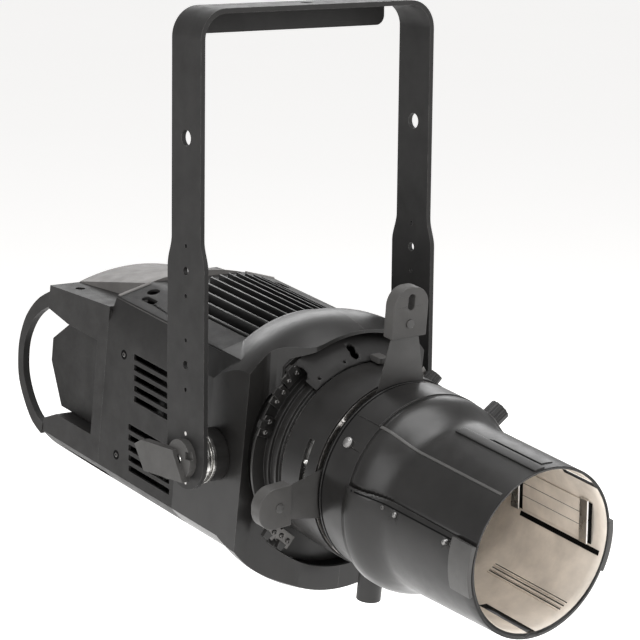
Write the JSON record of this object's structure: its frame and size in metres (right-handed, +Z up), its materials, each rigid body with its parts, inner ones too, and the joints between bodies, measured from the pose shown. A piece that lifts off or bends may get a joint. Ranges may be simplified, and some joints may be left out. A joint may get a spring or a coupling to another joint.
{
  "type": "ellipsoidal spotlight",
  "caption": "Profile stage spotlight in a U-shaped yoke with a tilt lock, shutters that slide in a rotating barrel, a focusing lens tube, a finned body and a rear control panel between handles.",
  "frame": {"origin": "centre of the clamp hole on the top face of the yoke's crossbar", "axes": "+Z up out of the clamp hole, +X across the yoke from the tilt lever's side to the other arm, beam towards -Y and tilted down at rest"},
  "size_m": [0.3249, 0.7644, 0.5933],
  "materials": {
    "yoke_paint": "satin black powder coat",
    "cover_paint": "satin black powder coat on sheet aluminium",
    "moulding": "satin moulded plastic",
    "knob_plastic": "matt moulded plastic",
    "display_glass": "gloss window",
    "button_plastic": "matt moulded plastic",
    "socket_blue": "matt moulded plastic",
    "bright_steel": "brushed and zinc plated",
    "dark_steel": "black oxide",
    "blade_steel": "heat-darkened stainless sheet",
    "black_anodised": "black anodised",
    "bare_aluminium": "as machined",
    "cast_black": "satin black paint on die-cast aluminium",
    "led_phosphor": "phosphor under clear silicone",
    "lens_glass": "clear, coated",
    "fan_plastic": "matt moulded plastic"
  },
  "bodies": {
    "yoke": {"yoke_bracket": "yoke_paint", "yoke_pads": "bright_steel", "pivot_bolts": "bright_steel"},
    "head": {"friction_discs": "bright_steel", "pivot_bosses": "cast_black", "chassis_frame": "bare_aluminium", "side_cover_left": "cover_paint", "side_cover_right": "cover_paint", "belly_cover": "cover_paint", "top_deck": "cover_paint", "cover_screws": "dark_steel", "rear_cover": "moulding", "exhaust_hood": "moulding", "handle_left": "moulding", "handle_right": "moulding", "control_housing": "moulding", "control_display": "display_glass", "power_sockets": "socket_blue", "data_sockets": "knob_plastic", "power_supply": "bare_aluminium", "heat_sink": "black_anodised", "led_module": "led_phosphor", "light_tunnel": "bare_aluminium", "collector_lens": "lens_glass", "fan_frame": "fan_plastic", "bell_left": "cast_black", "bell_right": "cast_black", "gate_housing": "cast_black", "rotation_sleeve": "bare_aluminium", "slot_cover": "moulding"},
    "lever": {"tilt_lever": "knob_plastic"},
    "barrel": {"barrel_sleeve": "cast_black", "shutter_frame": "blade_steel", "barrel_nose": "cast_black", "nose_screws": "bright_steel"},
    "slot_knob": {"slot_knob": "knob_plastic"},
    "lock_knob": {"rotation_lock_knob": "knob_plastic"},
    "top_shutter": {"shutter_top_blade": "blade_steel", "shutter_top_handle": "knob_plastic"},
    "bottom_shutter": {"shutter_bottom_blade": "blade_steel", "shutter_bottom_handle": "knob_plastic"},
    "left_shutter": {"shutter_left_blade": "blade_steel", "shutter_left_handle": "knob_plastic"},
    "right_shutter": {"shutter_right_blade": "blade_steel", "shutter_right_handle": "knob_plastic"},
    "lens_tube": {"lens_tube_upper": "cast_black", "lens_tube_lower": "cast_black", "tube_screws": "bright_steel", "accessory_runners": "cast_black", "lens_rings": "dark_steel", "front_lens": "lens_glass", "rear_lens": "lens_glass"},
    "focus_knob": {"focus_knob": "knob_plastic"},
    "menu_knob": {"control_knob": "knob_plastic"},
    "button_1": {"control_button_1": "button_plastic"},
    "button_2": {"control_button_2": "button_plastic"},
    "button_3": {"control_button_3": "button_plastic"},
    "rotor": {"fan_rotor": "fan_plastic"}
  },
  "joints": [
    {"name": "head_tilt", "type": "hinge", "parent": "yoke", "child": "head", "pos_m": [0, 0, -0.448], "axis": [1, 0, 0], "range_deg": [-53, 82]},
    {"name": "lever_turn", "type": "hinge", "parent": "yoke", "child": "lever", "pos_m": [-0.15, 0, -0.448], "axis": [-1, 0, 0], "range_deg": [-45, 45]},
    {"name": "barrel_rotation", "type": "hinge", "parent": "head", "child": "barrel", "pos_m": [0, -0.12113, -0.44836], "axis": [0, -0.9903, -0.1392], "range_deg": [-12, 12]},
    {"name": "top_shutter_slide", "type": "slide", "parent": "barrel", "child": "top_shutter", "axis": [-0.0349, -0.1391, 0.9897], "range_m": [-0.043, 0]},
    {"name": "bottom_shutter_slide", "type": "slide", "parent": "barrel", "child": "bottom_shutter", "axis": [0.4695, 0.1229, -0.8744], "range_m": [0, 0.043]},
    {"name": "left_shutter_slide", "type": "slide", "parent": "barrel", "child": "left_shutter", "axis": [-0.9962, 0.0121, -0.0863], "range_m": [-0.031, 0.012]},
    {"name": "right_shutter_slide", "type": "slide", "parent": "barrel", "child": "right_shutter", "axis": [0.9976, -0.0097, 0.0691], "range_m": [0, 0.043]},
    {"name": "focus_slide", "type": "slide", "parent": "barrel", "child": "lens_tube", "axis": [0, -0.9903, -0.1392], "range_m": [0, 0.025]},
    {"name": "focus_knob_turn", "type": "hinge", "parent": "lens_tube", "child": "focus_knob", "pos_m": [0.08668, -0.20532, -0.39181], "axis": [0.788, -0.0857, 0.6097], "range_deg": [-180, 180]},
    {"name": "slot_knob_turn", "type": "hinge", "parent": "barrel", "child": "slot_knob", "pos_m": [0.07026, -0.12407, -0.36998], "axis": [0.6691, -0.1034, 0.7359], "range_deg": [-180, 180]},
    {"name": "lock_knob_turn", "type": "hinge", "parent": "barrel", "child": "lock_knob", "pos_m": [0, -0.1175, -0.56903], "axis": [0, 0.1392, -0.9903], "range_deg": [-180, 180]},
    {"name": "menu_knob_turn", "type": "hinge", "parent": "head", "child": "menu_knob", "pos_m": [0.028, 0.34222, -0.39688], "axis": [0, 0.9903, 0.1392], "continuous": true},
    {"name": "rotor_spin", "type": "hinge", "parent": "head", "child": "rotor", "pos_m": [0, 0.17001, -0.40744], "axis": [0, -0.9903, -0.1392], "continuous": true},
    {"name": "button_1_press", "type": "slide", "parent": "head", "child": "button_1", "axis": [0, -0.9903, -0.1392], "range_m": [0, 0.0015], "stiffness_N_per_m": 300},
    {"name": "button_2_press", "type": "slide", "parent": "head", "child": "button_2", "axis": [0, -0.9903, -0.1392], "range_m": [0, 0.0015], "stiffness_N_per_m": 300},
    {"name": "button_3_press", "type": "slide", "parent": "head", "child": "button_3", "axis": [0, -0.9903, -0.1392], "range_m": [0, 0.0015], "stiffness_N_per_m": 300}
  ]
}
